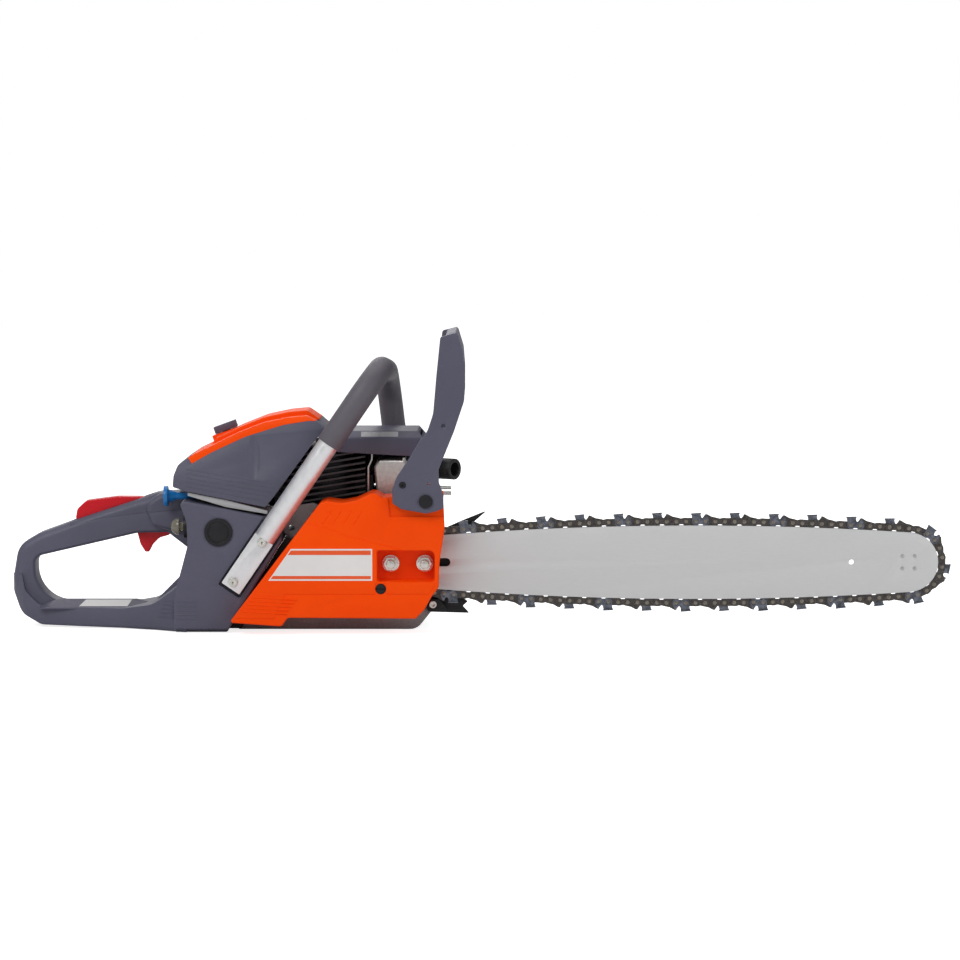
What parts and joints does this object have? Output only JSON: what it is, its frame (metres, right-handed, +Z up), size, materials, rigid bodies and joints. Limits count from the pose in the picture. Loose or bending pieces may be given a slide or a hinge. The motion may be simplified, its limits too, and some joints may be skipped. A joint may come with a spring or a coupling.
{
  "type": "chainsaw",
  "caption": "Petrol chainsaw with a guide bar and chain, wrap-around front handle, hand guard, and rear handle with trigger, lockout, choke and starter.",
  "frame": {"origin": "on the floor under the middle of the whole saw", "axes": "+X forward along the guide bar, +Y to the starter side, +Z up"},
  "size_m": [0.93, 0.2182, 0.2948],
  "materials": {
    "grey_plastic": "fine-grained moulded glass-filled nylon",
    "orange_plastic": "smooth moulded plastic, semi-gloss",
    "red_plastic": "smooth moulded plastic",
    "blue_plastic": "smooth moulded plastic",
    "black_plastic": "moulded plastic",
    "pale_plastic": "moulded plastic, light grey",
    "clear_bulb": "clear soft bulb",
    "filter_fleece": "pleated fleece",
    "rubber_black": "moulded rubber",
    "grip_foam": "closed-cell grip sleeve, satin",
    "cast_metal": "die-cast magnesium, bead-blasted",
    "cast_fins": "cast, dark heat-resistant finish",
    "tube_metal": "brushed tube",
    "machined_steel": "machined steel",
    "bar_steel": "satin ground, lacquered",
    "chain_steel": "oiled, browned",
    "cutter_chrome": "chrome-plated with blue-grey sides",
    "rivet_steel": "bronze-toned hardened rivets",
    "muffler_steel": "pressed sheet, aluminised",
    "zinc": "zinc-plated",
    "black_steel": "black oxide and paint",
    "brake_steel": "spring steel",
    "carb_metal": "die-cast zinc alloy",
    "rope": "braided nylon"
  },
  "bodies": {
    "guard": {"hand_guard": "grey_plastic"},
    "trigger": {"throttle_trigger": "red_plastic"},
    "lockout": {"throttle_lockout": "red_plastic"},
    "throttle": {"throttle_shaft": "machined_steel"},
    "choke": {"choke_knob": "blue_plastic"},
    "choke_plate": {"choke_shaft": "machined_steel"},
    "latch": {"cover_knob": "grey_plastic"},
    "primer": {"primer_bulb": "clear_bulb"},
    "fuel_filler_cap": {"fuel_cap": "black_plastic"},
    "oil_filler_cap": {"oil_cap": "black_plastic"},
    "tensioner": {"tensioner_screw": "black_plastic"},
    "crank": {"crankshaft": "machined_steel", "flywheel": "carb_metal", "clutch_hub": "machined_steel"},
    "pulley": {"starter_pulley": "black_plastic"},
    "pull_grip": {"starter_grip": "black_plastic", "starter_rope": "rope"},
    "frame": {"air_filter": "filter_fleece", "bar_core": "machined_steel", "bar_nuts": "zinc", "bar_side_plates": "bar_steel", "bar_studs": "zinc", "brake_band": "brake_steel", "bumper_spike": "black_steel", "carburettor": "carb_metal", "chain_catcher": "black_steel", "chain_cutters": "cutter_chrome", "chain_drive_links": "chain_steel", "chain_rivets": "rivet_steel", "chain_tie_straps": "chain_steel", "clutch_cover": "orange_plastic", "clutch_drum": "machined_steel", "connecting_rod": "machined_steel", "crankcase": "cast_metal", "cylinder": "cast_fins", "cylinder_shroud": "grey_plastic", "drive_sprocket": "machined_steel", "exhaust_deflector": "black_steel", "filter_base": "pale_plastic", "front_handle_sleeve": "grip_foam", "front_handle_tube": "tube_metal", "guard_pivots": "black_plastic", "handle_grip_cover": "grey_plastic", "heat_shield": "muffler_steel", "housing_screws": "zinc", "intake_boot": "rubber_black", "lever_pins": "machined_steel", "muffler_body": "muffler_steel", "nose_bearing": "machined_steel", "nose_sprocket": "machined_steel", "piston": "cast_metal", "primer_base": "black_plastic", "rear_handle_tank": "grey_plastic", "rod_pins": "machined_steel", "side_plug": "black_plastic", "spark_plug": "zinc", "starter_housing": "grey_plastic", "top_cover": "grey_plastic", "top_cover_trim": "orange_plastic", "vibration_mounts": "rubber_black"}
  },
  "joints": [
    {"name": "guard_swing", "type": "hinge", "parent": "frame", "child": "guard", "pos_m": [-0.0512, -0.0001, 0.1318], "axis": [0, 1, 0], "range_deg": [0, 20]},
    {"name": "trigger_squeeze", "type": "hinge", "parent": "frame", "child": "trigger", "pos_m": [-0.311, -0.0001, 0.103], "axis": [0, 1, 0], "range_deg": [0, 16], "stiffness_Nm_per_rad": 0.6, "springref_deg": -17.19},
    {"name": "lockout_press", "type": "hinge", "parent": "frame", "child": "lockout", "pos_m": [-0.333, -0.0001, 0.1195], "axis": [0, -1, 0], "range_deg": [0, 7], "stiffness_Nm_per_rad": 0.5, "springref_deg": -17.19},
    {"name": "throttle_turn", "type": "hinge", "parent": "frame", "child": "throttle", "pos_m": [-0.2345, -0.0001, 0.135], "axis": [0, -1, 0], "range_deg": [0, 65]},
    {"name": "choke_pull", "type": "slide", "parent": "frame", "child": "choke", "axis": [-1, 0, 0], "range_m": [0, 0.012]},
    {"name": "choke_turn", "type": "hinge", "parent": "frame", "child": "choke_plate", "pos_m": [-0.2505, -0.0001, 0.135], "axis": [0, -1, 0], "range_deg": [0, 73]},
    {"name": "latch_turn", "type": "hinge", "parent": "frame", "child": "latch", "pos_m": [-0.2504, -0.0001, 0.1918], "axis": [-0.342, 0, 0.9397], "range_deg": [0, 90]},
    {"name": "primer_press", "type": "slide", "parent": "frame", "child": "primer", "axis": [1, 0, 0], "range_m": [0, 0.0035], "stiffness_N_per_m": 400, "springref_m": -0.001},
    {"name": "fuel_cap_turn", "type": "hinge", "parent": "frame", "child": "fuel_filler_cap", "pos_m": [-0.285, 0.0619, 0.044], "axis": [0, 1, 0], "range_deg": [0, 720]},
    {"name": "oil_cap_turn", "type": "hinge", "parent": "frame", "child": "oil_filler_cap", "pos_m": [-0.054, 0.0399, 0.07], "axis": [0, 1, 0], "range_deg": [0, 720]},
    {"name": "tensioner_turn", "type": "hinge", "parent": "frame", "child": "tensioner", "pos_m": [-0.0952, -0.0961, 0.0456], "axis": [0, -1, 0], "range_deg": [-720, 720]},
    {"name": "crank_spin", "type": "hinge", "parent": "frame", "child": "crank", "pos_m": [-0.13812, -0.0001, 0.0683], "axis": [0, 1, 0], "continuous": true},
    {"name": "pulley_spin", "type": "hinge", "parent": "frame", "child": "pulley", "pos_m": [-0.13812, 0.0639, 0.0683], "axis": [0, -1, 0], "range_deg": [0, 138]},
    {"name": "starter_pull", "type": "slide", "parent": "frame", "child": "pull_grip", "axis": [0, 0, 1], "range_m": [0, 0.065], "stiffness_N_per_m": 20, "springref_m": -0.3}
  ],
  "couplings": [
    {"joint": "throttle_turn", "follows": "trigger_squeeze", "ratio": 4},
    {"joint": "choke_turn", "follows": "choke_pull", "rad_per_m": 105},
    {"joint": "pulley_spin", "follows": "starter_pull", "rad_per_m": 37.037}
  ]
}
